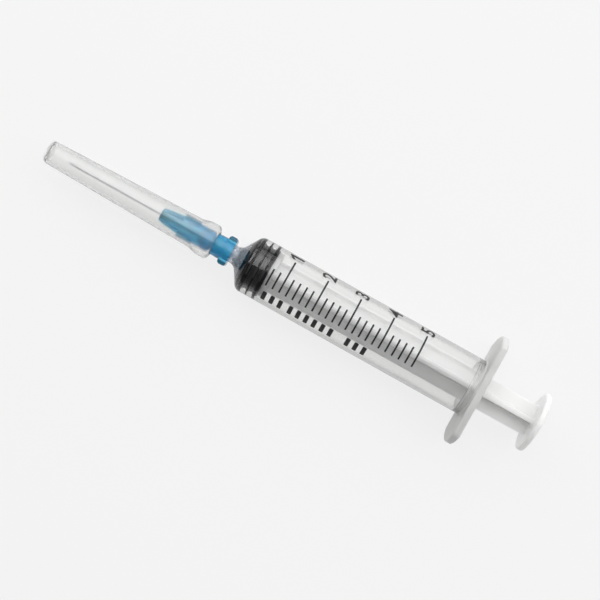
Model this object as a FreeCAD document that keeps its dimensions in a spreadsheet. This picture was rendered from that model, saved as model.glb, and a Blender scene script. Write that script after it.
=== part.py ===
import FreeCAD, Part

# A disposable 5 ml syringe with a slip nozzle and a capped hypodermic needle, in millimetres.
# The common axis of all pieces is parallel to X: the needle points to -X, the thumb rest to +X.
# X is 0 in the middle of the finger flange, whose lower straight edge lies on Z = 0.

import math
import os
import re

from FreeCAD import Vector
import Sketcher

doc = FreeCAD.newDocument("capped_syringe")

# Driving dimensions

SIZES = {
    # barrel
    "barrel_diameter": 14.0,
    "barrel_wall": 0.93,
    "shoulder_length": 2.9,
    "shoulder_wall": 0.8,
    "shoulder_round": 2.0,
    "nozzle_length": 7.5,
    "nozzle_tip_diameter": 3.95,
    "nozzle_bore": 2.0,
    "nozzle_root_round": 2.0,
    "luer_taper": 0.06,
    "mouth_chamfer": 0.25,
    "stop_bead_round": 0.45,
    "stop_bead_height": 0.2,
    "stop_bead_inset": 3.2,
    # finger flange
    "flange_diameter": 27.9,
    "flange_side_margin": 1.0,
    "flange_thickness": 1.7,
    "flange_corner_round": 0.8,
    "flange_edge_round": 0.4,
    "flange_root_round": 0.45,
    # printed scale
    "ink_thickness": 0.02,
    "line_width": 0.42,
    "lines_per_ml": 5,
    "scale_volume": 5,
    "scale_margin": 15.52,
    "line_start_angle": 22.5,
    "short_line_angle": 13.0,
    "long_line_angle": 48.5,
    # piston
    "piston_clearance": 0.03,
    "nose_gap": 0.12,
    "nose_diameter": 2.6,
    "nose_round": 0.3,
    "front_rib_width": 1.2,
    "middle_rib_width": 0.8,
    "rear_rib_width": 1.2,
    "rib_gap": 0.85,
    "rib_height": 0.36,
    "rib_round": 0.15,
    # plunger rod
    "rod_play": 0.05,
    "neck_diameter": 4.6,
    "neck_length": 1.5,
    "knob_lip": 0.9,
    "knob_length": 2.3,
    "knob_tip_diameter": 3.6,
    "front_disc_clearance": 0.47,
    "front_disc_thickness": 1.2,
    "fin_span": 7.75,
    "fin_thickness": 1.3,
    "fin_root_round": 0.45,
    "rod_overhang": 13.65,
    "thumb_diameter": 14.7,
    "thumb_thickness": 1.45,
    "thumb_rim_width": 1.3,
    "thumb_dish_depth": 0.45,
    "thumb_edge_round": 0.45,
    # needle hub
    "luer_clearance": 0.02,
    "nozzle_exposed": 1.7,
    "hub_length": 18.8,
    "hub_wall": 0.62,
    "hub_nose_diameter": 3.3,
    "hub_nose_length": 5.4,
    "collar_height": 0.26,
    "collar_thickness": 2.1,
    "lug_reach": 0.55,
    "lug_width": 4.2,
    "collar_round": 0.7,
    "socket_spare": 1.2,
    "funnel_length": 1.6,
    "fin_bite": 0.3,
    "nose_fins": 8,
    "nose_fin_thickness": 0.55,
    "nose_fin_span": 4.6,
    "nose_fin_front_span": 3.6,
    "nose_front_round": 0.35,
    "nose_fin_inset": 0.9,
    "grip_ribs": 6,
    "grip_rib_thickness": 0.7,
    "grip_rib_length": 4.2,
    "bond_well_diameter": 2.2,
    "bond_well_depth": 2.4,
    "bond_clearance": 0.01,
    # cannula
    "cannula_diameter": 0.64,
    "cannula_bore": 0.34,
    "cannula_exposed": 25.0,
    "cannula_bevel": 2.6,
    "cannula_clearance": 0.01,
    # needle cap
    "hub_exposed": 4.6,
    "needle_tip_gap": 4.4,
    "cap_hub_gap": 0.54,
    "cap_end_diameter": 5.6,
    "cap_wall": 0.65,
    "cap_end_wall": 1.0,
    "cap_end_round": 0.8,
    "cap_clearance": 0.05,
    "bell_flare": 0.6,
    "bell_length": 5.1,
    "bell_land": 2.9,
    "bell_wall": 1.25,
    "bell_round": 1.1,
    "bell_shoulder_round": 1.7,
}

dims = doc.addObject("Spreadsheet::Sheet", "dims")
for row, (alias, size) in enumerate(SIZES.items(), start=1):
    dims.set(f"A{row}", alias)
    dims.set(f"B{row}", str(size))
    dims.setAlias(f"B{row}", alias)
doc.recompute()


def formula(text):
    """Turns a formula in the words of the sheet into an expression that reads its cells."""
    return re.sub(r"[a-z]\w*", lambda word: f"dims.{word[0]}" if word[0] in SIZES else word[0], text)


def value(text):
    """The number that a formula in the words of the sheet gives now."""
    return float(dims.evalExpression(formula(text)))


# Places along X and radii, as formulas in the words of the sheet, from the thumb's side forward.
# The scale's length follows from the bore, and the tube is as long as its scale needs.

CUBIC_MM_PER_ML = 1000

AXIS_HEIGHT = "(barrel_diameter / 2 + flange_side_margin)"
BACK_FACE = "(flange_thickness / 2)"
BORE_RADIUS = "(barrel_diameter / 2 - barrel_wall)"
PISTON_RADIUS = f"({BORE_RADIUS} - piston_clearance)"
GROOVE_RADIUS = f"({PISTON_RADIUS} - rib_height)"
NOZZLE_TIP_RADIUS = "(nozzle_tip_diameter / 2)"
NOZZLE_BASE_RADIUS = f"({NOZZLE_TIP_RADIUS} + nozzle_length * luer_taper / 2)"
SHOULDER_SLOPE = f"(shoulder_length / (barrel_diameter / 2 - {NOZZLE_BASE_RADIUS}))"
STOP_BEAD = f"({BACK_FACE} - stop_bead_inset)"

ML_LENGTH = f"({CUBIC_MM_PER_ML} / (pi * {BORE_RADIUS} ^ 2))"
SCALE_LENGTH = f"(scale_volume * {ML_LENGTH})"
FIRST_LINE = f"(-flange_thickness / 2 - scale_margin - {SCALE_LENGTH})"
PISTON_SHOULDER = f"({FIRST_LINE} - front_rib_width / 2)"
SHOULDER_DROP = f"((barrel_diameter / 2 - {PISTON_RADIUS}) * {SHOULDER_SLOPE})"
TUBE_FRONT = f"({PISTON_SHOULDER} - nose_gap - shoulder_wall + {SHOULDER_DROP})"
NOZZLE_BASE = f"({TUBE_FRONT} - shoulder_length)"
NOZZLE_TIP = f"({NOZZLE_BASE} - nozzle_length)"


def inside_shoulder(radius):
    """Where the cone inside the shoulder has this radius."""
    return f"({TUBE_FRONT} + shoulder_wall - (barrel_diameter / 2 - {radius}) * {SHOULDER_SLOPE})"


PISTON_NOSE = f"({inside_shoulder('nose_diameter / 2')} + nose_gap)"
MIDDLE_RIB = f"({PISTON_SHOULDER} + front_rib_width + rib_gap)"
REAR_RIB = f"({MIDDLE_RIB} + middle_rib_width + rib_gap)"
PISTON_REAR = f"({REAR_RIB} + rear_rib_width)"

KNOB_RADIUS = "(neck_diameter / 2 + knob_lip)"
ROD_FRONT = f"({PISTON_REAR} + rod_play)"
KNOB_REAR = f"({ROD_FRONT} - neck_length)"
KNOB_TIP = f"({KNOB_REAR} - knob_length)"
FIN_FRONT = f"({ROD_FRONT} + front_disc_thickness)"
THUMB_FRONT = f"({BACK_FACE} + rod_overhang)"
THUMB_BACK = f"({THUMB_FRONT} + thumb_thickness)"

HUB_REAR = f"({NOZZLE_BASE} - nozzle_exposed)"
HUB_FRONT = f"({HUB_REAR} - hub_length)"
HUB_STEP = f"({HUB_FRONT} + hub_nose_length)"
COLLAR_FRONT = f"({HUB_REAR} - collar_thickness)"
SOCKET_END = f"({NOZZLE_TIP} - socket_spare)"
FUNNEL_END = f"({SOCKET_END} - funnel_length)"


def socket_radius(place):
    """Radius of the conical socket, which follows the nozzle's cone at a small clearance."""
    cone = f"({place} - {NOZZLE_TIP}) * luer_taper / 2"
    return f"({NOZZLE_TIP_RADIUS} + {cone} + luer_clearance)"


def hub_radius(place):
    """Outer radius of the hub's grip, one wall outside its socket's cone."""
    return f"({socket_radius(place)} + hub_wall)"


COLLAR_RADIUS = f"({hub_radius(HUB_REAR)} + collar_height)"

CANNULA_TIP = f"({HUB_FRONT} - cannula_exposed)"
HOLE_RADIUS = "(cannula_diameter / 2 + cannula_clearance)"

CAP_MOUTH = f"({HUB_REAR} - hub_exposed)"
CAP_END = f"({CANNULA_TIP} - needle_tip_gap - cap_end_wall)"
BELL_FRONT = f"({CAP_MOUTH} - bell_length)"
BELL_REAR = f"({CAP_MOUTH} - bell_land)"
CAP_RADIUS = f"({hub_radius(BELL_FRONT)} + cap_hub_gap + cap_wall)"
CAP_SLOPE = f"(({CAP_RADIUS} - cap_end_diameter / 2) / ({BELL_FRONT} - {CAP_END}))"
BELL_RADIUS = f"({CAP_RADIUS} + bell_flare)"


def cap_radius(place):
    """Outer radius of the cap's long cone, which is widest in front of the bell."""
    return f"(cap_end_diameter / 2 + ({place} - {CAP_END}) * {CAP_SLOPE})"


# Tools for bodies, sketches and features

OVERSHOOT = 1.0  # how far a cut runs past the face that it opens
SAME_PLACE = 0.01  # how near two measures are when they are taken as one


def new_body(name):
    body = doc.addObject("PartDesign::Body", name)
    body.Label = name
    body.setExpression("Placement.Base.z", formula(AXIS_HEIGHT))
    return body


def new_sketch(body, name, plane):
    sketch = body.newObject("Sketcher::SketchObject", name)
    support = next(item for item in body.Origin.OriginFeatures if item.Role == plane)
    sketch.AttachmentSupport = [(support, "")]
    sketch.MapMode = "FlatFace"
    return sketch


def pin_point(sketch, geometry, end, across, up):
    """Holds one point of a sketch at the place that two formulas give."""
    for kind, text in (("DistanceX", across), ("DistanceY", up)):
        if text == "0":
            axis = -2 if kind == "DistanceX" else -1
            sketch.addConstraint(Sketcher.Constraint("PointOnObject", geometry, end, axis))
        else:
            index = sketch.addConstraint(
                Sketcher.Constraint(kind, -1, 1, geometry, end, value(text))
            )
            sketch.setExpression(f"Constraints[{index}]", formula(text))


def outline(body, name, plane, corners):
    """A closed outline of straight lines whose corners are pairs of formulas."""
    sketch = new_sketch(body, name, plane)
    points = [Vector(value(across), value(up), 0) for across, up in corners]
    lines = []
    for here, there in zip(points, points[1:] + points[:1]):
        lines.append(sketch.addGeometry(Part.LineSegment(here, there), False))
    for line, following in zip(lines, lines[1:] + lines[:1]):
        sketch.addConstraint(Sketcher.Constraint("Coincident", line, 2, following, 1))
    for line, (across, up) in zip(lines, corners):
        pin_point(sketch, line, 1, across, up)
    return sketch


def circle(sketch, radius, across="0", up="0"):
    """A circle in a sketch, with its centre and radius held by formulas."""
    centre = Vector(value(across), value(up), 0)
    item = sketch.addGeometry(Part.Circle(centre, Vector(0, 0, 1), value(radius)), False)
    pin_point(sketch, item, 3, across, up)
    index = sketch.addConstraint(Sketcher.Constraint("Radius", item, value(radius)))
    sketch.setExpression(f"Constraints[{index}]", formula(radius))
    return item


def revolve(body, name, sketch, kind="Revolution"):
    """Turns a sketch about the syringe's axis, to add material or to cut it."""
    feature = body.newObject(f"PartDesign::{kind}", name)
    feature.Profile = sketch
    feature.ReferenceAxis = (sketch, ["H_Axis"])
    feature.Angle = 360
    doc.recompute()
    return feature


def extrude(body, name, sketch, length, kind="Pad", reverse=False, midplane=False):
    """Draws a sketch out along its normal, to add material or to cut it."""
    feature = body.newObject(f"PartDesign::{kind}", name)
    feature.Profile = sketch
    feature.setExpression("Length", formula(length))
    feature.Reversed = reverse
    feature.Midplane = midplane
    doc.recompute()
    return feature


def round_edges(body, name, radius, chosen):
    """Rounds the edges of the body's last feature that a test picks."""
    base = body.Tip
    edges = [f"Edge{i}" for i, edge in enumerate(base.Shape.Edges, start=1) if chosen(edge)]
    feature = body.newObject("PartDesign::Fillet", name)
    feature.Base = (base, edges)
    feature.setExpression("Radius", formula(radius))
    doc.recompute()
    return feature


def move_along(sketch, place):
    """Moves a sketch of the YZ plane along the syringe's axis."""
    sketch.setExpression("AttachmentOffset.Base.z", formula(place))


def ring_at(edge, place, radius):
    """True for a full circle about the axis at this place and radius."""
    curve = edge.Curve
    if not isinstance(curve, Part.Circle):
        return False
    off_axis = math.hypot(curve.Center.y, curve.Center.z)
    off_place = abs(curve.Center.x - value(place))
    off_radius = abs(curve.Radius - value(radius))
    return max(off_axis, off_place, off_radius) < SAME_PLACE


# Barrel


def make_barrel():
    """Tube, conical shoulder and slip nozzle turned as one, with the finger flange across them."""
    body = new_body("barrel")
    outside = outline(
        body,
        "barrel_outside",
        "XZ_Plane",
        [
            (NOZZLE_TIP, "0"),
            (NOZZLE_TIP, NOZZLE_TIP_RADIUS),
            (NOZZLE_BASE, NOZZLE_BASE_RADIUS),
            (TUBE_FRONT, "barrel_diameter / 2"),
            (BACK_FACE, "barrel_diameter / 2"),
            (BACK_FACE, "0"),
        ],
    )
    revolve(body, "barrel_solid", outside)
    rounds = (
        ("barrel_shoulder_round", "shoulder_round", TUBE_FRONT, "barrel_diameter / 2"),
        ("nozzle_root_round", "nozzle_root_round", NOZZLE_BASE, NOZZLE_BASE_RADIUS),
    )
    for name, radius, place, ring_radius in rounds:
        round_edges(body, name, radius, lambda edge: ring_at(edge, place, ring_radius))
    add_finger_flange(body)
    hollow_barrel(body)
    return body


def add_finger_flange(body):
    """A round plate cut by two flats, so that the syringe can't roll, with every outer edge eased."""
    sketch = new_sketch(body, "flange_outline", "YZ_Plane")
    half_height = value(AXIS_HEIGHT)
    radius = value("flange_diameter / 2")
    half_angle = math.asin(half_height / radius)
    half_flat = radius * math.cos(half_angle)
    plate = Part.Circle(Vector(0, 0, 0), Vector(0, 0, 1), radius)
    upper_line = Part.LineSegment(
        Vector(half_flat, half_height, 0), Vector(-half_flat, half_height, 0)
    )
    lower_line = Part.LineSegment(
        Vector(-half_flat, -half_height, 0), Vector(half_flat, -half_height, 0)
    )
    right = sketch.addGeometry(Part.ArcOfCircle(plate, -half_angle, half_angle), False)
    left = sketch.addGeometry(
        Part.ArcOfCircle(plate, math.pi - half_angle, math.pi + half_angle), False
    )
    upper = sketch.addGeometry(upper_line, False)
    lower = sketch.addGeometry(lower_line, False)
    for first, second in ((right, upper), (upper, left), (left, lower), (lower, right)):
        sketch.addConstraint(Sketcher.Constraint("Coincident", first, 2, second, 1))
    for arc in (right, left):
        sketch.addConstraint(Sketcher.Constraint("Coincident", arc, 3, -1, 1))
    sketch.addConstraint(Sketcher.Constraint("Equal", right, left))
    index = sketch.addConstraint(Sketcher.Constraint("Radius", right, radius))
    sketch.setExpression(f"Constraints[{index}]", formula("flange_diameter / 2"))
    for line, height in ((upper, AXIS_HEIGHT), (lower, f"-{AXIS_HEIGHT}")):
        sketch.addConstraint(Sketcher.Constraint("Horizontal", line))
        index = sketch.addConstraint(
            Sketcher.Constraint("DistanceY", -1, 1, line, 1, value(height))
        )
        sketch.setExpression(f"Constraints[{index}]", formula(height))
    extrude(body, "finger_flange", sketch, "flange_thickness", midplane=True)

    def reach(edge):
        box = edge.BoundBox
        return max(abs(box.YMin), abs(box.YMax), abs(box.ZMin), abs(box.ZMax))

    def on_corner(edge):
        return edge.BoundBox.XLength > SAME_PLACE and reach(edge) > half_height - SAME_PLACE

    def on_rim(edge):
        return edge.BoundBox.XLength < SAME_PLACE and reach(edge) > half_height - SAME_PLACE

    round_edges(body, "flange_corner_round", "flange_corner_round", on_corner)
    round_edges(body, "flange_edge_round", "flange_edge_round", on_rim)
    round_edges(
        body,
        "flange_root_round",
        "flange_root_round",
        lambda edge: ring_at(edge, f"(-{BACK_FACE})", "barrel_diameter / 2"),
    )


def hollow_barrel(body):
    """The bore with its front cone, the nozzle's bore, a chamfered mouth and the stop bead."""
    inside = outline(
        body,
        "barrel_inside",
        "XZ_Plane",
        [
            (f"({NOZZLE_TIP} - {OVERSHOOT})", "0"),
            (f"({NOZZLE_TIP} - {OVERSHOOT})", "nozzle_bore / 2"),
            (inside_shoulder("nozzle_bore / 2"), "nozzle_bore / 2"),
            (inside_shoulder(BORE_RADIUS), BORE_RADIUS),
            (f"({BACK_FACE} - mouth_chamfer)", BORE_RADIUS),
            (BACK_FACE, f"({BORE_RADIUS} + mouth_chamfer)"),
            (f"({BACK_FACE} + {OVERSHOOT})", f"({BORE_RADIUS} + mouth_chamfer)"),
            (f"({BACK_FACE} + {OVERSHOOT})", "0"),
        ],
    )
    solid_volume = body.Shape.Volume
    revolve(body, "barrel_bore", inside, kind="Groove")
    if body.Shape.Volume >= solid_volume:
        raise RuntimeError("the bore isn't cut")
    bead = new_sketch(body, "stop_bead_section", "XZ_Plane")
    circle(bead, "stop_bead_round", STOP_BEAD, f"({BORE_RADIUS} + stop_bead_round - stop_bead_height)")
    revolve(body, "stop_bead", bead)


# Printed scale


def make_scale_print():
    """Thin ink lines round the barrel: short ones for each part of a millilitre, long ones for each."""
    body = new_body("scale_print")
    body.AllowCompound = True
    line_front = f"({FIRST_LINE} - line_width / 2)"
    line_rear = f"({FIRST_LINE} + line_width / 2)"
    ink_radius = "(barrel_diameter / 2 + ink_thickness)"
    kinds = (
        ("short", "short_line_angle", "lines_per_ml"),
        ("long", "long_line_angle", "1"),
    )
    for kind, angle, lines_per_ml in kinds:
        section = outline(
            body,
            f"{kind}_line_section",
            "XZ_Plane",
            [
                (line_front, "barrel_diameter / 2"),
                (line_rear, "barrel_diameter / 2"),
                (line_rear, ink_radius),
                (line_front, ink_radius),
            ],
        )
        line = body.newObject("PartDesign::Revolution", f"{kind}_line")
        line.Profile = section
        line.ReferenceAxis = (section, ["H_Axis"])
        line.Type = "TwoAngles"
        line.setExpression("Angle", formula("line_start_angle"))
        line.setExpression("Angle2", formula(angle))
        doc.recompute()
        row = body.newObject("PartDesign::LinearPattern", f"{kind}_lines")
        row.Originals = [line]
        row.Direction = (section, ["H_Axis"])
        row.setExpression("Length", formula(SCALE_LENGTH))
        row.setExpression("Occurrences", formula(f"scale_volume * {lines_per_ml} + 1"))
        body.Tip = row
        doc.recompute()
    return body


# Piston


def make_piston():
    """Rubber piston: a cone that fits the shoulder, three sealing ribs and a pocket for the knob."""
    body = new_body("piston")
    mouth_radius = "(neck_diameter / 2 + rod_play)"
    pocket_radius = f"({KNOB_RADIUS} + rod_play)"
    tip_radius = "(knob_tip_diameter / 2 + rod_play)"
    pocket_rear = f"({KNOB_REAR} + rod_play)"
    pocket_front = f"({KNOB_TIP} - rod_play)"
    section = outline(
        body,
        "piston_section",
        "XZ_Plane",
        [
            (PISTON_NOSE, "0"),
            (PISTON_NOSE, "nose_diameter / 2"),
            (PISTON_SHOULDER, PISTON_RADIUS),
            (f"({PISTON_SHOULDER} + front_rib_width)", PISTON_RADIUS),
            (f"({PISTON_SHOULDER} + front_rib_width)", GROOVE_RADIUS),
            (MIDDLE_RIB, GROOVE_RADIUS),
            (MIDDLE_RIB, PISTON_RADIUS),
            (f"({MIDDLE_RIB} + middle_rib_width)", PISTON_RADIUS),
            (f"({MIDDLE_RIB} + middle_rib_width)", GROOVE_RADIUS),
            (REAR_RIB, GROOVE_RADIUS),
            (REAR_RIB, PISTON_RADIUS),
            (PISTON_REAR, PISTON_RADIUS),
            (PISTON_REAR, mouth_radius),
            (pocket_rear, mouth_radius),
            (pocket_rear, pocket_radius),
            (pocket_front, tip_radius),
            (pocket_front, "0"),
        ],
    )
    revolve(body, "piston_solid", section)
    rib_sides = [
        PISTON_SHOULDER,
        f"({PISTON_SHOULDER} + front_rib_width)",
        MIDDLE_RIB,
        f"({MIDDLE_RIB} + middle_rib_width)",
        REAR_RIB,
        PISTON_REAR,
    ]
    round_edges(
        body,
        "rib_edge_round",
        "rib_round",
        lambda edge: any(ring_at(edge, side, PISTON_RADIUS) for side in rib_sides),
    )
    round_edges(
        body,
        "piston_nose_round",
        "nose_round",
        lambda edge: ring_at(edge, PISTON_NOSE, "nose_diameter / 2"),
    )
    return body


# Plunger rod


def make_plunger_rod():
    """Snap knob, front disc, four long fins and a dished thumb rest, moulded as one."""
    body = new_body("plunger_rod")
    half_span = "fin_span / 2"
    half_fin = "fin_thickness / 2"
    corners = [
        (half_fin, half_span),
        (f"-{half_fin}", half_span),
        (f"-{half_fin}", half_fin),
        (f"-{half_span}", half_fin),
        (f"-{half_span}", f"-{half_fin}"),
        (f"-{half_fin}", f"-{half_fin}"),
        (f"-{half_fin}", f"-{half_span}"),
        (half_fin, f"-{half_span}"),
        (half_fin, f"-{half_fin}"),
        (half_span, f"-{half_fin}"),
        (half_span, half_fin),
        (half_fin, half_fin),
    ]
    cross = outline(body, "fin_section", "YZ_Plane", corners)
    move_along(cross, FIN_FRONT)
    extrude(body, "fins", cross, f"{THUMB_FRONT} - {FIN_FRONT}")
    root = value(half_fin)

    def at_fin_root(edge):
        middle = edge.CenterOfMass
        return all(abs(abs(reach) - root) < SAME_PLACE for reach in (middle.y, middle.z))

    round_edges(body, "fin_root_round", "fin_root_round", at_fin_root)

    disc_radius = f"({BORE_RADIUS} - front_disc_clearance)"
    front = outline(
        body,
        "rod_front_section",
        "XZ_Plane",
        [
            (KNOB_TIP, "0"),
            (KNOB_TIP, "knob_tip_diameter / 2"),
            (KNOB_REAR, KNOB_RADIUS),
            (KNOB_REAR, "neck_diameter / 2"),
            (ROD_FRONT, "neck_diameter / 2"),
            (ROD_FRONT, disc_radius),
            (FIN_FRONT, disc_radius),
            (FIN_FRONT, "0"),
        ],
    )
    revolve(body, "rod_front", front)
    dish_radius = "(thumb_diameter / 2 - thumb_rim_width)"
    thumb = outline(
        body,
        "thumb_section",
        "XZ_Plane",
        [
            (THUMB_FRONT, "0"),
            (THUMB_FRONT, "thumb_diameter / 2"),
            (THUMB_BACK, "thumb_diameter / 2"),
            (THUMB_BACK, dish_radius),
            (f"({THUMB_BACK} - thumb_dish_depth)", f"({dish_radius} - thumb_dish_depth)"),
            (f"({THUMB_BACK} - thumb_dish_depth)", "0"),
        ],
    )
    revolve(body, "thumb_rest", thumb)
    round_edges(
        body,
        "thumb_edge_round",
        "thumb_edge_round",
        lambda edge: any(
            ring_at(edge, face, "thumb_diameter / 2") for face in (THUMB_FRONT, THUMB_BACK)
        ),
    )
    return body


# Needle hub


def add_fins(body, name, thickness, front_radius, rear_radius, front, rear, count):
    """A ring of thin fins along the hub, each from inside its wall out to a straight edge."""
    section = outline(
        body,
        f"{name}_section",
        "XZ_Plane",
        [
            (front, "(hub_nose_diameter / 2 - fin_bite)"),
            (front, front_radius),
            (rear, rear_radius),
            (rear, "(hub_nose_diameter / 2 - fin_bite)"),
        ],
    )
    fin = extrude(body, f"{name}_first", section, thickness, midplane=True)
    ring = body.newObject("PartDesign::PolarPattern", f"{name}_ring")
    ring.Originals = [fin]
    ring.Axis = (section, ["H_Axis"])
    ring.Angle = 360
    ring.setExpression("Occurrences", formula(count))
    body.Tip = ring
    doc.recompute()


def make_needle_hub():
    """Blue hub: rear collar with two lugs, tapered grip with ribs for the cap, and a finned nose."""
    body = new_body("needle_hub")
    outside = outline(
        body,
        "hub_outside",
        "XZ_Plane",
        [
            (HUB_FRONT, "0"),
            (HUB_FRONT, "hub_nose_diameter / 2"),
            (HUB_STEP, "hub_nose_diameter / 2"),
            (HUB_STEP, hub_radius(HUB_STEP)),
            (COLLAR_FRONT, hub_radius(COLLAR_FRONT)),
            (COLLAR_FRONT, COLLAR_RADIUS),
            (HUB_REAR, COLLAR_RADIUS),
            (HUB_REAR, "0"),
        ],
    )
    revolve(body, "hub_solid", outside)
    round_edges(
        body,
        "hub_nose_round",
        "nose_front_round",
        lambda edge: ring_at(edge, HUB_FRONT, "hub_nose_diameter / 2"),
    )
    half_span = f"({COLLAR_RADIUS} + lug_reach)"
    half_width = "lug_width / 2"
    corners = [
        (f"-{half_span}", f"-{half_width}"),
        (half_span, f"-{half_width}"),
        (half_span, half_width),
        (f"-{half_span}", half_width),
    ]
    lugs = outline(body, "lug_section", "YZ_Plane", corners)
    move_along(lugs, HUB_REAR)
    extrude(body, "lugs", lugs, "collar_thickness", reverse=True)

    def on_lug_end(edge):
        middle = edge.CenterOfMass
        return abs(abs(middle.y) - value(half_span)) < SAME_PLACE

    round_edges(body, "lug_round", "collar_round", on_lug_end)
    add_fins(
        body,
        "nose_fin",
        "nose_fin_thickness",
        "nose_fin_front_span / 2",
        "nose_fin_span / 2",
        f"({HUB_FRONT} + nose_fin_inset)",
        HUB_STEP,
        "nose_fins",
    )
    add_fins(
        body,
        "grip_rib",
        "grip_rib_thickness",
        f"({cap_radius(HUB_STEP)} - cap_wall - cap_clearance)",
        f"({cap_radius(HUB_STEP)} - cap_wall - cap_clearance)",
        HUB_STEP,
        f"({HUB_STEP} + grip_rib_length)",
        "grip_ribs",
    )
    inside = outline(
        body,
        "hub_inside",
        "XZ_Plane",
        [
            (f"({HUB_FRONT} - {OVERSHOOT})", "0"),
            (f"({HUB_FRONT} - {OVERSHOOT})", "bond_well_diameter / 2"),
            (HUB_FRONT, "bond_well_diameter / 2"),
            (f"({HUB_FRONT} + bond_well_depth)", HOLE_RADIUS),
            (FUNNEL_END, HOLE_RADIUS),
            (SOCKET_END, socket_radius(SOCKET_END)),
            (HUB_REAR, socket_radius(HUB_REAR)),
            (f"({HUB_REAR} + {OVERSHOOT})", socket_radius(HUB_REAR)),
            (f"({HUB_REAR} + {OVERSHOOT})", "0"),
        ],
    )
    solid_volume = body.Shape.Volume
    revolve(body, "hub_socket", inside, kind="Groove")
    if body.Shape.Volume >= solid_volume:
        raise RuntimeError("the socket isn't cut")
    return body


# Cannula and its adhesive


def make_cannula():
    """Steel tube with one long bevel at its tip."""
    body = new_body("cannula")
    ring = new_sketch(body, "cannula_ring", "YZ_Plane")
    circle(ring, "cannula_diameter / 2")
    circle(ring, "cannula_bore / 2")
    move_along(ring, FUNNEL_END)
    extrude(body, "cannula_tube", ring, f"{FUNNEL_END} - {CANNULA_TIP}", reverse=True)
    tube_volume = body.Shape.Volume
    beyond = "cannula_diameter"
    bevel = outline(
        body,
        "bevel_section",
        "XZ_Plane",
        [
            (CANNULA_TIP, "-cannula_diameter / 2"),
            (f"({CANNULA_TIP} + cannula_bevel)", "cannula_diameter / 2"),
            (f"({CANNULA_TIP} + cannula_bevel)", beyond),
            (f"({CANNULA_TIP} - {beyond})", beyond),
            (f"({CANNULA_TIP} - {beyond})", "-cannula_diameter / 2"),
        ],
    )
    bevel_width = f"2 * {beyond}"
    extrude(body, "cannula_bevel", bevel, bevel_width, kind="Pocket", midplane=True)
    if body.Shape.Volume >= tube_volume:
        raise RuntimeError("the bevel isn't cut")
    return body


def make_cannula_bond():
    """Adhesive that fills the conical well in the hub's front, round the cannula."""
    body = new_body("cannula_bond")
    taper = f"((bond_well_diameter / 2 - {HOLE_RADIUS}) / bond_well_depth)"
    depth = f"((bond_well_diameter / 2 - {HOLE_RADIUS} - bond_clearance) / {taper})"
    section = outline(
        body,
        "bond_section",
        "XZ_Plane",
        [
            (HUB_FRONT, HOLE_RADIUS),
            (HUB_FRONT, "(bond_well_diameter / 2 - bond_clearance)"),
            (f"({HUB_FRONT} + {depth})", HOLE_RADIUS),
        ],
    )
    revolve(body, "bond_ring", section)
    return body


# Needle cap


def make_needle_cap():
    """Long clear cap: a closed taper that widens into a rounded bell at its mouth."""
    body = new_body("needle_cap")
    section = outline(
        body,
        "cap_section",
        "XZ_Plane",
        [
            (CAP_END, "0"),
            (CAP_END, "cap_end_diameter / 2"),
            (BELL_FRONT, CAP_RADIUS),
            (BELL_REAR, BELL_RADIUS),
            (CAP_MOUTH, BELL_RADIUS),
            (CAP_MOUTH, f"({BELL_RADIUS} - bell_wall)"),
            (BELL_REAR, f"({BELL_RADIUS} - bell_wall)"),
            (BELL_FRONT, f"({CAP_RADIUS} - cap_wall)"),
            (f"({CAP_END} + cap_end_wall)", "(cap_end_diameter / 2 - cap_wall)"),
            (f"({CAP_END} + cap_end_wall)", "0"),
        ],
    )
    revolve(body, "cap_solid", section)
    round_edges(
        body,
        "cap_end_round",
        "cap_end_round",
        lambda edge: ring_at(edge, CAP_END, "cap_end_diameter / 2"),
    )
    round_edges(
        body,
        "bell_round",
        "bell_round",
        lambda edge: ring_at(edge, CAP_MOUTH, BELL_RADIUS),
    )
    round_edges(
        body,
        "bell_shoulder_round",
        "bell_shoulder_round",
        lambda edge: ring_at(edge, BELL_REAR, BELL_RADIUS) or ring_at(edge, BELL_FRONT, CAP_RADIUS),
    )
    return body


# Build, check and write

sub_parts = [
    make_barrel(),
    make_scale_print(),
    make_piston(),
    make_plunger_rod(),
    make_needle_hub(),
    make_cannula(),
    make_cannula_bond(),
    make_needle_cap(),
]
doc.recompute()

for item in doc.Objects:
    if "Invalid" in item.State or "Error" in item.State:
        raise RuntimeError(f"{item.Name} failed: {item.State}")

os.makedirs("parts", exist_ok=True)
for sub_part in sub_parts:
    shape = sub_part.Shape
    if shape.isNull() or not shape.isValid():
        raise RuntimeError(f"{sub_part.Label} has no valid shape")
    shape.exportStep(f"parts/{sub_part.Label}.step")
    print(sub_part.Label, round(shape.Volume, 2), len(shape.Solids))
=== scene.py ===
"""Looks of the syringe: materials, printed figures, camera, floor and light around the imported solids."""
import math

import bmesh
import bpy
from mathutils import Matrix, Vector


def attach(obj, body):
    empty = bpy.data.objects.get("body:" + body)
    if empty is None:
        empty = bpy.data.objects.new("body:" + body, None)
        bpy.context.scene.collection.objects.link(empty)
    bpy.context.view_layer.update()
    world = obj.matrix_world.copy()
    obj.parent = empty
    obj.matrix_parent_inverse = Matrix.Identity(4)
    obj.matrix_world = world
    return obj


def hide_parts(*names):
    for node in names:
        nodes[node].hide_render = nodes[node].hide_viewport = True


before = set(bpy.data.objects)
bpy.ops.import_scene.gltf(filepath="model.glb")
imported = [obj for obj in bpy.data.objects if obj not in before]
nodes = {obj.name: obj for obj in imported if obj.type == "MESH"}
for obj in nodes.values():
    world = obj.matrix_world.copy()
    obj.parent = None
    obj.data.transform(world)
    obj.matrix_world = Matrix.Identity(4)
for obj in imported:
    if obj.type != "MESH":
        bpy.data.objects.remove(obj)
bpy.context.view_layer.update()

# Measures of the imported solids. A station is a place along the axis, which runs from the needle
# (negative) through the finger flange (zero) to the thumb rest.
MM = 0.001
AXIS_HEIGHT = 8.0 * MM
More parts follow.
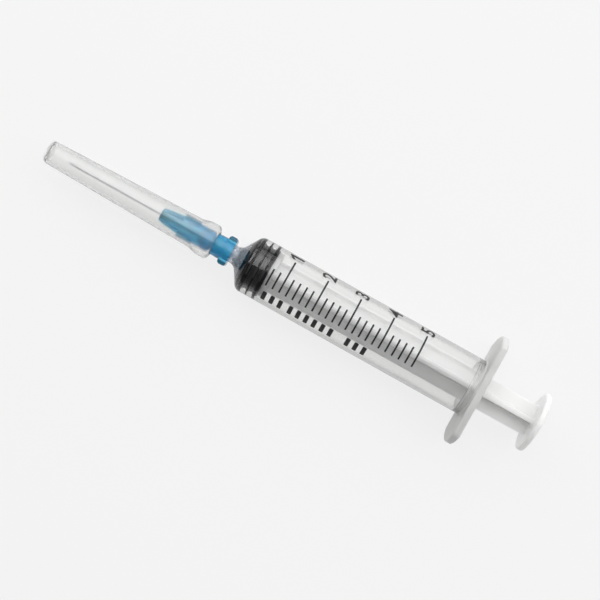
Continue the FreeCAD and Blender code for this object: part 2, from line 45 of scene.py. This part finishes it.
BARREL_RADIUS = 7.0 * MM
BORE_RADIUS = 6.07 * MM
NOZZLE_BORE_RADIUS = 1.2 * MM
FLANGE_FRONT = -1.33 * MM
BEAD_FRONT = -2.95 * MM
FIRST_LINE = -59.565 * MM
NOZZLE_ROOT = -61.5 * MM
CAP_END_STATION = -113.0 * MM
ML_LENGTH = 8.639 * MM
SCALE_ML = 5
RIB_WIDTHS = (1.2 * MM, 0.8 * MM, 1.2 * MM)
RIB_GAP = 0.85 * MM

# Directions, with the sides as they lie in the photograph.
UPPER_SIDE = (0, 1, 0)
LOWER_SIDE = (0, -1, 0)
TOWARDS_NEEDLE = (-1, 0, 0)


# What several sections use


def add_object(name, data):
    """A new object in the scene."""
    added = bpy.data.objects.new(name, data)
    bpy.context.scene.collection.objects.link(added)
    return added


def mesh_from(made, name):
    """Moves what was made into a new mesh."""
    mesh = bpy.data.meshes.new(name)
    made.to_mesh(mesh)
    made.free()
    return mesh


def fill_ramp(ramp, stops):
    """Gives a colour ramp its (position, colour) stops."""
    elements = ramp.color_ramp.elements
    while len(elements) < len(stops):
        elements.new(0.5)
    for element, (position, shade) in zip(elements, stops):
        element.position = position
        element.color = (*shade, 1.0)


# Materials

PLASTIC_IOR = 1.49
WHITE = (1.0, 1.0, 1.0)
EVEN_SCATTER = (1.0, 1.0, 1.0)

# Nearly all values of a noise lie between these two.
NOISE_LOW = 0.3
NOISE_HIGH = 0.7

# Numbers of the Mix node's colour sockets, which share their names with its other sockets.
MIX_FIRST = 6
MIX_SECOND = 7
MIX_RESULT = 2


class Surface:
    """A principled material whose colour, roughness and relief come from procedural textures."""

    def __init__(self, name, **constants):
        self.material = bpy.data.materials.new(name)
        self.material.use_nodes = True
        self.tree = self.material.node_tree
        self.shader = self.tree.nodes["Principled BSDF"]
        for socket, value in constants.items():
            self.shader.inputs[socket.replace("_", " ")].default_value = value
        self.place = self.tree.nodes.new("ShaderNodeTexCoord").outputs["Object"]

    def node(self, kind, **settings):
        """A new node, with each setting as its property or else as its input."""
        made = self.tree.nodes.new(kind)
        for key, value in settings.items():
            if hasattr(made, key):
                setattr(made, key, value)
            else:
                made.inputs[key.replace("_", " ")].default_value = value
        return made

    def link(self, source, target):
        self.tree.links.new(source, target)

    def noise(self, size, stretch=(1, 1, 1), detail=3.0, rough=0.5):
        """Noise with features of the given size in metres, stretched along the axes."""
        mapping = self.node("ShaderNodeMapping")
        mapping.inputs["Scale"].default_value = [1 / (size * factor) for factor in stretch]
        self.link(self.place, mapping.inputs["Vector"])
        texture = self.node("ShaderNodeTexNoise", Scale=1.0, Detail=detail, Roughness=rough)
        self.link(mapping.outputs["Vector"], texture.inputs["Vector"])
        return texture.outputs["Fac"]

    def ranged(self, value, low, high, to_low, to_high):
        """The value, with its range from low to high spread from to_low to to_high."""
        spread = self.node("ShaderNodeMapRange")
        self.link(value, spread.inputs["Value"])
        limits = (("From Min", low), ("From Max", high), ("To Min", to_low), ("To Max", to_high))
        for socket, number in limits:
            spread.inputs[socket].default_value = number
        return spread.outputs["Result"]

    def colour(self, value, *stops):
        """Base colour from a value through a ramp of (position, colour) stops."""
        ramp = self.node("ShaderNodeValToRGB")
        fill_ramp(ramp, stops)
        self.link(value, ramp.inputs["Fac"])
        self.link(ramp.outputs["Color"], self.shader.inputs["Base Color"])

    def mottled(self, value, dark, light, low=NOISE_LOW, high=NOISE_HIGH):
        """Base colour that changes from dark to light with a noise."""
        self.colour(value, (low, dark), (high, light))

    def edge_tint(self, *stops, uneven=0.04, size=4 * MM):
        """Base colour from how steeply a wall is seen: 0 is face on and 1 edge on, a little uneven."""
        weight = self.node("ShaderNodeLayerWeight", Blend=0.5)
        streaks = self.ranged(self.noise(size, stretch=(3, 1, 1)), NOISE_LOW, NOISE_HIGH, -uneven, uneven)
        total = self.node("ShaderNodeMath", operation="ADD", use_clamp=True)
        self.link(weight.outputs["Facing"], total.inputs[0])
        self.link(streaks, total.inputs[1])
        self.colour(total.outputs["Value"], *stops)

    def graded(self, way, near, far, near_shade, far_shade):
        """Multiplies the base colour by a shade that changes between two distances along a direction."""
        along = self.node("ShaderNodeVectorMath", operation="DOT_PRODUCT")
        self.link(self.place, along.inputs[0])
        along.inputs[1].default_value = way
        shade = self.node("ShaderNodeMix", data_type="RGBA")
        self.link(self.ranged(along.outputs["Value"], near, far, 0.0, 1.0), shade.inputs["Factor"])
        shade.inputs[MIX_FIRST].default_value = (*near_shade, 1.0)
        shade.inputs[MIX_SECOND].default_value = (*far_shade, 1.0)
        product = self.node("ShaderNodeMix", data_type="RGBA", blend_type="MULTIPLY")
        product.inputs["Factor"].default_value = 1.0
        self.link(self.shader.inputs["Base Color"].links[0].from_socket, product.inputs[MIX_FIRST])
        self.link(shade.outputs[MIX_RESULT], product.inputs[MIX_SECOND])
        self.link(product.outputs[MIX_RESULT], self.shader.inputs["Base Color"])

    def roughness(self, value, smooth, dull):
        """Roughness that changes from smooth to dull with a noise."""
        self.link(self.ranged(value, NOISE_LOW, NOISE_HIGH, smooth, dull), self.shader.inputs["Roughness"])

    def relief(self, value, depth, strength):
        """Bump of the given depth in metres."""
        bump = self.node("ShaderNodeBump", Strength=strength, Distance=depth)
        self.link(value, bump.inputs["Height"])
        self.link(bump.outputs["Normal"], self.shader.inputs["Normal"])


def clear_barrel():
    """Outside of the thin clear wall: darker at its edges, where the way through the plastic is longer, and
    painted shade on both its sides, deepest on the lower one.
    """
    made = Surface("clear_barrel_plastic", IOR=PLASTIC_IOR, Transmission_Weight=1.0, Specular_IOR_Level=0.5)
    made.edge_tint((0.3, (1.0, 1.0, 0.998)), (0.42, (0.88, 0.882, 0.878)), (0.54, (0.50, 0.503, 0.50)),
                   (0.8, (0.41, 0.412, 0.41)))
    # Painted shade: the lower side of the wall darker, standing in for the floor's shadow seen through the
    # tube.
    made.graded(LOWER_SIDE, near=3.4 * MM, far=4.8 * MM, near_shade=WHITE, far_shade=(0.78, 0.782, 0.775))
    # Painted shade: the upper side of the wall a little darker.
    made.graded(UPPER_SIDE, near=3.6 * MM, far=4.8 * MM, near_shade=WHITE, far_shade=(0.92, 0.92, 0.915))
    flow = made.noise(6 * MM, stretch=(4, 1, 1))
    made.roughness(made.noise(1.5 * MM, stretch=(3, 1, 1)), smooth=0.03, dull=0.06)
    made.relief(flow, depth=0.02 * MM, strength=0.3)
    return made.material


def clear_bore():
    """Inside of the clear wall, with faint drawing marks along the bore."""
    made = Surface("clear_bore_plastic", IOR=PLASTIC_IOR, Transmission_Weight=1.0, Specular_IOR_Level=0.5)
    made.edge_tint((0.3, (1.0, 1.0, 0.998)), (0.95, (0.92, 0.922, 0.92)))
    made.roughness(made.noise(1.5 * MM, stretch=(4, 1, 1)), smooth=0.02, dull=0.05)
    made.relief(made.noise(0.8 * MM, stretch=(20, 1, 1)), depth=0.004 * MM, strength=0.2)
    return made.material


def matt_bore():
    """Stop bead and mouth of the bore, with the matt skin of the mould."""
    made = Surface("matt_bore_plastic", IOR=PLASTIC_IOR, Transmission_Weight=0.6, Specular_IOR_Level=0.3)
    grain = made.noise(0.3 * MM)
    made.mottled(grain, dark=(0.96, 0.962, 0.958), light=(1.0, 1.0, 0.995))
    made.roughness(grain, smooth=0.5, dull=0.7)
    made.relief(grain, depth=0.004 * MM, strength=0.3)
    return made.material


def milky_barrel():
    """Finger flange, where the plastic is thick and looks milky, with painted shade that darkens its lower
    side.
    """
    made = Surface("milky_barrel_plastic", IOR=PLASTIC_IOR, Transmission_Weight=0.2, Specular_IOR_Level=0.4,
                   Subsurface_Weight=0.8, Subsurface_Scale=3 * MM, Subsurface_Radius=EVEN_SCATTER)
    flow = made.noise(3 * MM, detail=2.0)
    made.mottled(flow, dark=(0.68, 0.68, 0.672), light=(0.74, 0.74, 0.732))
    # Painted shade: the lower wing darker and the upper wing a little lighter.
    made.graded(UPPER_SIDE, near=-12 * MM, far=12 * MM,
                near_shade=(0.82, 0.82, 0.82), far_shade=(1.02, 1.02, 1.02))
    made.roughness(made.noise(1.5 * MM), smooth=0.38, dull=0.5)
    made.relief(made.noise(1.2 * MM, detail=2.0), depth=0.008 * MM, strength=0.15)
    return made.material


def satin_nozzle():
    """Nozzle and its root, thick plastic with the satin skin of its mould."""
    made = Surface("satin_nozzle_plastic", IOR=PLASTIC_IOR, Transmission_Weight=0.72, Subsurface_Weight=0.6,
                   Subsurface_Scale=1 * MM, Subsurface_Radius=EVEN_SCATTER)
    flow = made.noise(1.5 * MM, stretch=(2, 1, 1))
    made.mottled(flow, dark=(0.70, 0.75, 0.82), light=(0.77, 0.81, 0.87))
    made.roughness(flow, smooth=0.22, dull=0.34)
    made.relief(flow, depth=0.01 * MM, strength=0.3)
    return made.material


def clear_cap():
    """Clear wall of the cap, finely drawn along its length and a little dull."""
    made = Surface("clear_cap_plastic", IOR=PLASTIC_IOR, Transmission_Weight=0.97, Specular_IOR_Level=0.5)
    draw = made.noise(2 * MM, stretch=(12, 1, 1))
    made.edge_tint((0.25, (0.97, 0.972, 0.966)), (0.8, (0.82, 0.822, 0.815)), size=2 * MM)
    made.roughness(made.noise(0.8 * MM, stretch=(8, 1, 1)), smooth=0.19, dull=0.27)
    made.relief(draw, depth=0.008 * MM, strength=0.25)
    return made.material


def matt_cap():
    """Closed end of the cap, thick and matt."""
    made = Surface("matt_cap_plastic", IOR=PLASTIC_IOR, Transmission_Weight=0.9, Subsurface_Weight=0.7,
                   Subsurface_Scale=2 * MM, Subsurface_Radius=EVEN_SCATTER)
    cloud = made.noise(1 * MM)
    made.mottled(cloud, dark=(0.96, 0.962, 0.955), light=(1.0, 1.0, 0.995))
    made.roughness(cloud, smooth=0.32, dull=0.45)
    made.relief(cloud, depth=0.003 * MM, strength=0.2)
    return made.material


def black_ink():
    """Film of print, a little uneven in its cover."""
    made = Surface("black_ink_film", IOR=1.5, Specular_IOR_Level=0.35)
    cover = made.noise(0.25 * MM, detail=4.0)
    made.mottled(cover, dark=(0.012, 0.012, 0.013), light=(0.03, 0.03, 0.031), low=0.35, high=0.75)
    made.roughness(cover, smooth=0.45, dull=0.65)
    made.relief(cover, depth=0.006 * MM, strength=0.5)
    return made.material


def black_rubber():
    """Moulded rubber with a faint bloom and a fine grain."""
    made = Surface("black_rubber_skin", IOR=1.5, Specular_IOR_Level=0.22)
    bloom = made.noise(1.2 * MM, detail=4.0)
    made.mottled(bloom, dark=(0.004, 0.004, 0.005), light=(0.009, 0.009, 0.011), low=0.35)
    made.roughness(bloom, smooth=0.42, dull=0.58)
    made.relief(made.noise(0.12 * MM), depth=0.01 * MM, strength=0.4)
    return made.material


def wetted_rubber():
    """Rubber pressed on the wall: nothing between them reflects light."""
    made = Surface("wetted_rubber_rib", Specular_IOR_Level=0.0)
    bloom = made.noise(0.8 * MM, detail=4.0)
    made.mottled(bloom, dark=(0.004, 0.004, 0.005), light=(0.008, 0.008, 0.010), low=0.35)
    made.roughness(bloom, smooth=0.5, dull=0.7)
    made.relief(made.noise(0.12 * MM), depth=0.005 * MM, strength=0.3)
    return made.material


def white_plastic():
    """White rod, with painted light that makes it a little brighter inside the barrel than at its thumb rest.
    """
    made = Surface("white_rod_plastic", IOR=PLASTIC_IOR, Subsurface_Weight=0.9, Subsurface_Scale=3 * MM,
                   Subsurface_Radius=(1.0, 0.98, 0.96))
    flow = made.noise(5 * MM, stretch=(3, 1, 1), detail=4.0)
    made.mottled(flow, dark=(0.86, 0.862, 0.858), light=(0.89, 0.89, 0.883))
    # Painted light: brighter towards the needle, inside the barrel, and darker at the thumb rest.
    made.graded(TOWARDS_NEEDLE, near=-4 * MM, far=8 * MM,
                near_shade=(0.90, 0.90, 0.90), far_shade=(1.06, 1.06, 1.06))
    made.roughness(made.noise(0.6 * MM), smooth=0.3, dull=0.44)
    made.relief(made.noise(0.18 * MM, detail=5.0), depth=0.012 * MM, strength=0.35)
    return made.material


def blue_plastic():
    """Translucent blue: deep teal where it is seen edge on and in the thick lugs, with painted light that
    makes it lighter at its nose.
    """
    made = Surface("blue_hub_plastic", IOR=1.5, Transmission_Weight=0.7, Subsurface_Weight=0.7,
                   Subsurface_Scale=1.5 * MM, Subsurface_Radius=(0.4, 0.9, 1.0))
    swirl = made.noise(1.4 * MM, stretch=(2.5, 1, 1), detail=4.0, rough=0.6)
    made.edge_tint((0.05, (0.13, 0.67, 1.0)), (0.4, (0.06, 0.53, 0.96)), (0.9, (0.0, 0.20, 0.42)),
                   uneven=0.14, size=1.2 * MM)
    for side in (LOWER_SIDE, UPPER_SIDE):
        made.graded(side, near=2.35 * MM, far=2.8 * MM, near_shade=WHITE, far_shade=(0.10, 0.22, 0.24))
    # Painted light: the nose, under the cap, lighter and paler.
    made.graded(TOWARDS_NEEDLE, near=74.5 * MM, far=78 * MM, near_shade=WHITE, far_shade=(1.9, 1.16, 1.05))
    made.roughness(made.noise(0.5 * MM), smooth=0.1, dull=0.22)
    made.relief(swirl, depth=0.03 * MM, strength=0.4)
    return made.material


def needle_steel():
    """Steel tube, with the marks of its drawing along it."""
    made = Surface("drawn_needle_steel", Metallic=0.85, Anisotropic=0.5)
    drawn = made.noise(0.06 * MM, stretch=(60, 1, 1), detail=4.0)
    made.mottled(drawn, dark=(0.70, 0.71, 0.72), light=(0.80, 0.805, 0.81))
    made.roughness(drawn, smooth=0.3, dull=0.42)
    made.relief(drawn, depth=0.002 * MM, strength=0.4)
    return made.material


def adhesive():
    """Cured adhesive, pale amber and clouded."""
    made = Surface("cured_adhesive", IOR=1.52, Transmission_Weight=0.55)
    cloud = made.noise(0.5 * MM)
    made.mottled(cloud, dark=(0.80, 0.75, 0.56), light=(0.90, 0.86, 0.70))
    made.roughness(cloud, smooth=0.12, dull=0.3)
    made.relief(cloud, depth=0.02 * MM, strength=0.4)
    return made.material


FINISHES = {
    "barrel": clear_barrel(),
    "scale_print": black_ink(),
    "piston": black_rubber(),
    "plunger_rod": white_plastic(),
    "needle_hub": blue_plastic(),
    "cannula": needle_steel(),
    "cannula_bond": adhesive(),
    "needle_cap": clear_cap(),
}
for node_name, finish in FINISHES.items():
    nodes[node_name].material_slots[0].material = finish


# Pieces


def add_piece(name, mesh, body, slot, *finishes):
    """Puts a finished mesh, made in the frame's own coordinates, on a body."""
    for finish in finishes:
        mesh.materials.append(finish)
    piece = add_object(name, mesh)
    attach(piece, body)
    return piece


# Mouldings with several finishes

# How far outside the bore's radius the middle of one of its faces may lie.
BORE_MARGIN = 0.05 * MM

# Numbers of the finishes in the two copies, in the order of their lists.
WALL, BORE, MOUTH, FLANGE, NOZZLE = range(5)
BARREL_FINISHES = (FINISHES["barrel"], clear_bore(), matt_bore(), milky_barrel(), satin_nozzle())
CAP_WALL, CAP_END = range(2)
CAP_FINISHES = (FINISHES["needle_cap"], matt_cap())


def finished_copy(node, body, slot, finishes, choose):
    """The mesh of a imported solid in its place, named after its slot, with a finish chosen for each face."""
    mesh = nodes[node].data.copy()
    mesh.name = slot
    mesh.materials.clear()
    piece = add_piece(slot, mesh, body, slot, *finishes)
    for face in mesh.polygons:
        across, up = face.center.y, face.center.z - AXIS_HEIGHT
        outwards = face.normal.y * across + face.normal.z * up
        face.material_index = choose(face.center.x, math.hypot(across, up), outwards)
    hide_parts(node)


def barrel_finish(station, off_axis, outwards):
    """The bore, its matt mouth, the thick flange and the nozzle each have a finish of their own."""
    if off_axis < NOZZLE_BORE_RADIUS and outwards < 0:
        return NOZZLE
    if off_axis < BORE_RADIUS + BORE_MARGIN and outwards < 0:
        return MOUTH if station > BEAD_FRONT else BORE
    if station < NOZZLE_ROOT:
        return NOZZLE
    return FLANGE if station > FLANGE_FRONT else WALL


def cap_finish(station, off_axis, outwards):
    """The cap's closed end has a finish of its own, on all of its faces."""
    return CAP_END if station < CAP_END_STATION else CAP_WALL


finished_copy("barrel", "barrel", "clear_barrel", BARREL_FINISHES, barrel_finish)
finished_copy("needle_cap", "cap", "clear_cap", CAP_FINISHES, cap_finish)


# Print

PRINT_HEIGHT = 0.02 * MM
PRINT_CELL = 0.25 * MM

# Figures: each stands a little ahead of its line, at one arc length from the barrel's top line.
FIGURE_TALL = 3.6 * MM
FIGURE_WIDEN = 1.2
FIGURE_BOLD = 0.016
FIGURE_FROM_TOP_LINE = 7.75 * MM
FIGURE_AHEAD = 0.15 * MM
SAME_POINT = 1e-5

# Corners of a one, (across, up) in shares of its height, and its middle.
ONE = ((0.28, 0.0), (0.51, 0.0), (0.51, 1.0), (0.34, 1.0), (0.04, 0.78), (0.04, 0.56), (0.28, 0.74))
ONE_MIDDLE = (0.27, 0.5)

# Plain bars in three groups, (station of the first bar, number of bars).
BAR_GROUPS = ((-54.2 * MM, 3), (-47.3 * MM, 6), (-32.3 * MM, 3))
BAR_LOW = -6.9 * MM
BAR_HIGH = -4.2 * MM
BAR_LONG = 1.05 * MM
BAR_PITCH = 2.1 * MM
BAR_CORNER = 0.25 * MM
CORNER_STEPS = 4


def on_barrel(along, around, radius):
    """Point at a station along the axis and an arc length from the top line, towards +Y."""
    turn = around / BARREL_RADIUS
    return Vector((along, radius * math.sin(turn), AXIS_HEIGHT + radius * math.cos(turn)))


def wrap_print(flat, name):
    """Turns a flat outline (x along the axis, y around the barrel) into a raised film on the barrel."""
    reach = [vertex.co.y for vertex in flat.verts]
    row = math.floor(min(reach) / PRINT_CELL) * PRINT_CELL
    while row < max(reach):
        geometry = flat.verts[:] + flat.edges[:] + flat.faces[:]
        bmesh.ops.bisect_plane(flat, geom=geometry, plane_co=(0, row, 0), plane_no=(0, 1, 0))
        row += PRINT_CELL
    bmesh.ops.recalc_face_normals(flat, faces=flat.faces[:])
    base = flat.faces[:]
    raised = bmesh.ops.extrude_face_region(flat, geom=base)
    top = {item for item in raised["geom"] if isinstance(item, bmesh.types.BMVert)}
    for vertex in flat.verts:
        radius = BARREL_RADIUS + (PRINT_HEIGHT if vertex in top else 0.0)
        vertex.co = on_barrel(vertex.co.x, vertex.co.y, radius)
    bmesh.ops.recalc_face_normals(flat, faces=flat.faces[:])
    return mesh_from(flat, name)


def add_print(name, flat):
    """Prints a flat outline on the barrel."""
    add_piece(name, wrap_print(flat, name), "barrel", "black_ink", FINISHES["scale_print"])


def figure_point(across, up, size):
    """Flat point of a figure that is upright when the needle points up, measured from its middle."""
    return (-up * size, across * size * FIGURE_WIDEN, 0.0)


def figure_one():
    """Flat outline of a one with a long flag."""
    flat = bmesh.new()
    points = [figure_point(across - ONE_MIDDLE[0], up - ONE_MIDDLE[1], FIGURE_TALL) for across, up in ONE]
    flat.faces.new([flat.verts.new(point) for point in points])
    return flat


def figure_outline(text):
    """Flat outline of a figure from the font."""
    curve = bpy.data.curves.new("figure", "FONT")
    curve.body = text
    curve.size = 1.0
    curve.align_x = "CENTER"
    curve.fill_mode = "FRONT"
    curve.offset = FIGURE_BOLD
    holder = add_object("figure", curve)
    bpy.context.view_layer.update()
    mesh = bpy.data.meshes.new_from_object(holder.evaluated_get(bpy.context.evaluated_depsgraph_get()))
    bpy.data.objects.remove(holder)
    flat = bmesh.new()
    flat.from_mesh(mesh)
    bpy.data.meshes.remove(mesh)
    bmesh.ops.remove_doubles(flat, verts=flat.verts[:], dist=SAME_POINT)
    left, right = min(vertex.co.x for vertex in flat.verts), max(vertex.co.x for vertex in flat.verts)
    foot, head = min(vertex.co.y for vertex in flat.verts), max(vertex.co.y for vertex in flat.verts)
    centre, middle = (right + left) / 2, (head + foot) / 2
    size = FIGURE_TALL / (head - foot)
    for vertex in flat.verts:
        vertex.co = figure_point(vertex.co.x - centre, vertex.co.y - middle, size)
    return flat


def bar_outline(start, length, low, high, corner):
    """Flat bar with rounded corners."""
    flat = bmesh.new()
    points = []
    for cx, cy, first in ((start + length - corner, high - corner, 0), (start + corner, high - corner, 90),
                          (start + corner, low + corner, 180), (start + length - corner, low + corner, 270)):
        for step in range(CORNER_STEPS + 1):
            turn = math.radians(first + step * 90 / CORNER_STEPS)
            points.append((cx + corner * math.cos(turn), cy + corner * math.sin(turn), 0.0))
    flat.faces.new([flat.verts.new(point) for point in points])
    return flat


for figure in range(1, SCALE_ML + 1):
    outline = figure_one() if figure == 1 else figure_outline(str(figure))
    line_station = FIRST_LINE + figure * ML_LENGTH
    bmesh.ops.translate(outline, verts=outline.verts[:],
                        vec=(line_station - FIGURE_AHEAD, FIGURE_FROM_TOP_LINE, 0.0))
    add_print(f"scale_figure_{figure}", outline)

for group, (group_start, count) in enumerate(BAR_GROUPS, start=1):
    for index in range(count):
        bar_start = group_start + index * BAR_PITCH
        add_print(f"plain_bar_{group}_{index + 1}",
                  bar_outline(bar_start, BAR_LONG, BAR_LOW, BAR_HIGH, BAR_CORNER))


# Skins of the piston where its rubber is pressed on the barrel

LATHE_STEPS = 128

# Ribs: how far the skin reaches into the wall, how far it stays from the rib's edges, and its crown.
RIB_REACH = 0.015 * MM
RIB_INSET = 0.12 * MM
RIB_SKIN_INNER = 5.9 * MM
RIB_CROWN_DROP = 0.05 * MM
RIB_CROWN_STEPS = 8

# The cone inside the shoulder: its length, how much its radius shrinks over that length, and the
# station where it would be as wide as the barrel.
SHOULDER_LENGTH = 2.9 * MM
SHOULDER_NARROWING = 4.8 * MM
SHOULDER_SLOPE = SHOULDER_LENGTH / SHOULDER_NARROWING
SHOULDER_STATION = -59.706 * MM

# Nose: how far the skin reaches into the cone's wall, its thickness, and the radii that it spans.
NOSE_REACH = 0.02 * MM
NOSE_SKIN_THICK = 0.3 * MM
NOSE_SKIN_INNER = 1.5 * MM
NOSE_SKIN_WIDE = 4.2 * MM
NOSE_SKIN_STEPS = 12


def lathe(name, profile):
    """Closed ring turned about the syringe's axis from (station, radius) points."""
    made = bmesh.new()
    rings = []
    for step in range(LATHE_STEPS):
        turn = 2 * math.pi * step / LATHE_STEPS
        across, up = math.sin(turn), math.cos(turn)
        rings.append([made.verts.new((x, r * across, AXIS_HEIGHT + r * up)) for x, r in profile])
    for step in range(LATHE_STEPS):
        ring, after = rings[step], rings[(step + 1) % LATHE_STEPS]
        for index in range(len(profile)):
            follow = (index + 1) % len(profile)
            made.faces.new((ring[index], after[index], after[follow], ring[follow]))
    bmesh.ops.recalc_face_normals(made, faces=made.faces[:])
    for face in made.faces:
        face.smooth = True
    return mesh_from(made, name)


def rib_skin(front, rear):
    """Skin of a sealing rib with a rounded crown, from its front station to its rear one."""
    half = RIB_CROWN_STEPS / 2
    crown = []
    for step in range(RIB_CROWN_STEPS + 1):
        drop = RIB_CROWN_DROP * (abs(step - half) / half) ** 3
        crown.append((front + (rear - front) * step / RIB_CROWN_STEPS, BORE_RADIUS + RIB_REACH - drop))
    return [(front, RIB_SKIN_INNER), *crown, (rear, RIB_SKIN_INNER)]


def nose_skin():
    """Skin of the piston's nose, pressed on the cone inside the shoulder."""
    front = []
    rear = []
    for step in range(NOSE_SKIN_STEPS + 1):
        radius = NOSE_SKIN_INNER + NOSE_SKIN_WIDE * step / NOSE_SKIN_STEPS
        station = SHOULDER_STATION - (BARREL_RADIUS - radius) * SHOULDER_SLOPE
        front.append((station - NOSE_REACH, radius))
        rear.append((station + NOSE_SKIN_THICK, radius))
    return front + rear[::-1]


def add_skin(name, profile):
    """Puts a turned skin on the piston."""
    add_piece(name, lathe(name, profile), "piston", "black_rubber", WETTED)


WETTED = wetted_rubber()
rib_front = FIRST_LINE - RIB_WIDTHS[0] / 2
for index, width in enumerate(RIB_WIDTHS, start=1):
    add_skin(f"rib_contact_{index}", rib_skin(rib_front + RIB_INSET, rib_front + width - RIB_INSET))
    rib_front += width + RIB_GAP
add_skin("nose_contact", nose_skin())


# Floor, light and camera

FLOOR_RADIUS = 6.0
FLOOR_SEGMENTS = 96
FLOOR_GREY = 0.10
FLOOR_GLOW = 0.81

# Shades of the sky, (height, shade), from the horizon at 0 to straight up at 1, a little bluer than grey.
SKY_SHADES = ((0.0, 0.4), (0.2, 0.26), (0.5, 0.16), (1.0, 0.12))
SKY_BLUE = 1.01

# Soft boxes, (name, place, (width, height), radiance), all aimed at one point of the barrel's axis.
LAMP_TARGET = (-0.04, 0.0, 0.008)
LAMP_COLOUR = (1.0, 1.0, 0.995)
LAMPS = (
    ("key_middle", (-0.04, 0.25, 0.44), (1.5, 0.40), 1.1),
    ("key_spread", (-0.04, 0.255, 0.449), (1.7, 0.60), 1.05),
    ("key_low", (-0.04, 0.464, 0.195), (1.7, 0.15), 1.25),
)

# The camera's place and the directions of its picture, in the frame.
PHOTO_PIXELS = 600
FOCAL_PIXELS = 1263.51
SENSOR_WIDTH = 36
CAMERA_PLACE = (-41.77 * MM, -2.103 * MM, 302.313 * MM)
CAMERA_RIGHT = (0.87279, 0.48795, -0.01184)
CAMERA_UP = (-0.48789, 0.87287, 0.008)
CAMERA_BACK = (0.01424, -0.00121, 0.9999)
NEAREST_SEEN = 0.01
FARTHEST_SEEN = 30


def make_floor():
    """Wide floor, whose own glow makes it as bright as the photograph's background."""
    made = bmesh.new()
    bmesh.ops.create_circle(made, cap_ends=True, segments=FLOOR_SEGMENTS, radius=FLOOR_RADIUS)
    mesh = mesh_from(made, "floor")
    floor = add_object("floor", mesh)
    paint = Surface("pale_floor", Base_Color=(FLOOR_GREY, FLOOR_GREY, FLOOR_GREY, 1.0), Roughness=0.9,
                    Specular_IOR_Level=0.1, Emission_Color=(*WHITE, 1.0), Emission_Strength=FLOOR_GLOW)
    mesh.materials.append(paint.material)


def make_sky():
    """A dim studio all round, darker towards its top."""
    world = bpy.data.worlds.new("studio")
    bpy.context.scene.world = world
    world.use_nodes = True
    tree = world.node_tree
    background = tree.nodes["Background"]
    place = tree.nodes.new("ShaderNodeTexCoord")
    split = tree.nodes.new("ShaderNodeSeparateXYZ")
    ramp = tree.nodes.new("ShaderNodeValToRGB")
    tree.links.new(place.outputs["Generated"], split.inputs["Vector"])
    tree.links.new(split.outputs["Z"], ramp.inputs["Fac"])
    tree.links.new(ramp.outputs["Color"], background.inputs["Color"])
    fill_ramp(ramp, [(height, (shade, shade, shade * SKY_BLUE)) for height, shade in SKY_SHADES])
    background.inputs["Strength"].default_value = 1.0


def add_lamp(name, place, size, radiance):
    """Soft box of (width, height), whose face shines with the given radiance."""
    data = bpy.data.lights.new(name, "AREA")
    data.shape = "RECTANGLE"
    data.size, data.size_y = size
    data.energy = radiance * math.pi * size[0] * size[1]
    data.color = LAMP_COLOUR
    lamp = add_object(name, data)
    lamp.location = place
    aim = Vector(LAMP_TARGET) - Vector(place)
    lamp.rotation_mode = "QUATERNION"
    lamp.rotation_quaternion = aim.to_track_quat("-Z", "Y")


def make_camera():
    """The camera that took the photograph, as fitted to the outlines in it."""
    data = bpy.data.cameras.new("camera")
    camera = add_object("camera", data)
    data.lens = FOCAL_PIXELS / PHOTO_PIXELS * SENSOR_WIDTH
    data.sensor_width = SENSOR_WIDTH
    data.clip_start = NEAREST_SEEN
    data.clip_end = FARTHEST_SEEN
    turn = Matrix((CAMERA_RIGHT, CAMERA_UP, CAMERA_BACK)).transposed().to_4x4()
    camera.matrix_world = Matrix.Translation(CAMERA_PLACE) @ turn
    bpy.context.scene.camera = camera


make_floor()
make_sky()
for lamp_values in LAMPS:
    add_lamp(*lamp_values)
make_camera()
bpy.context.scene.view_settings.view_transform = "Standard"
bpy.context.scene.view_settings.look = "None"
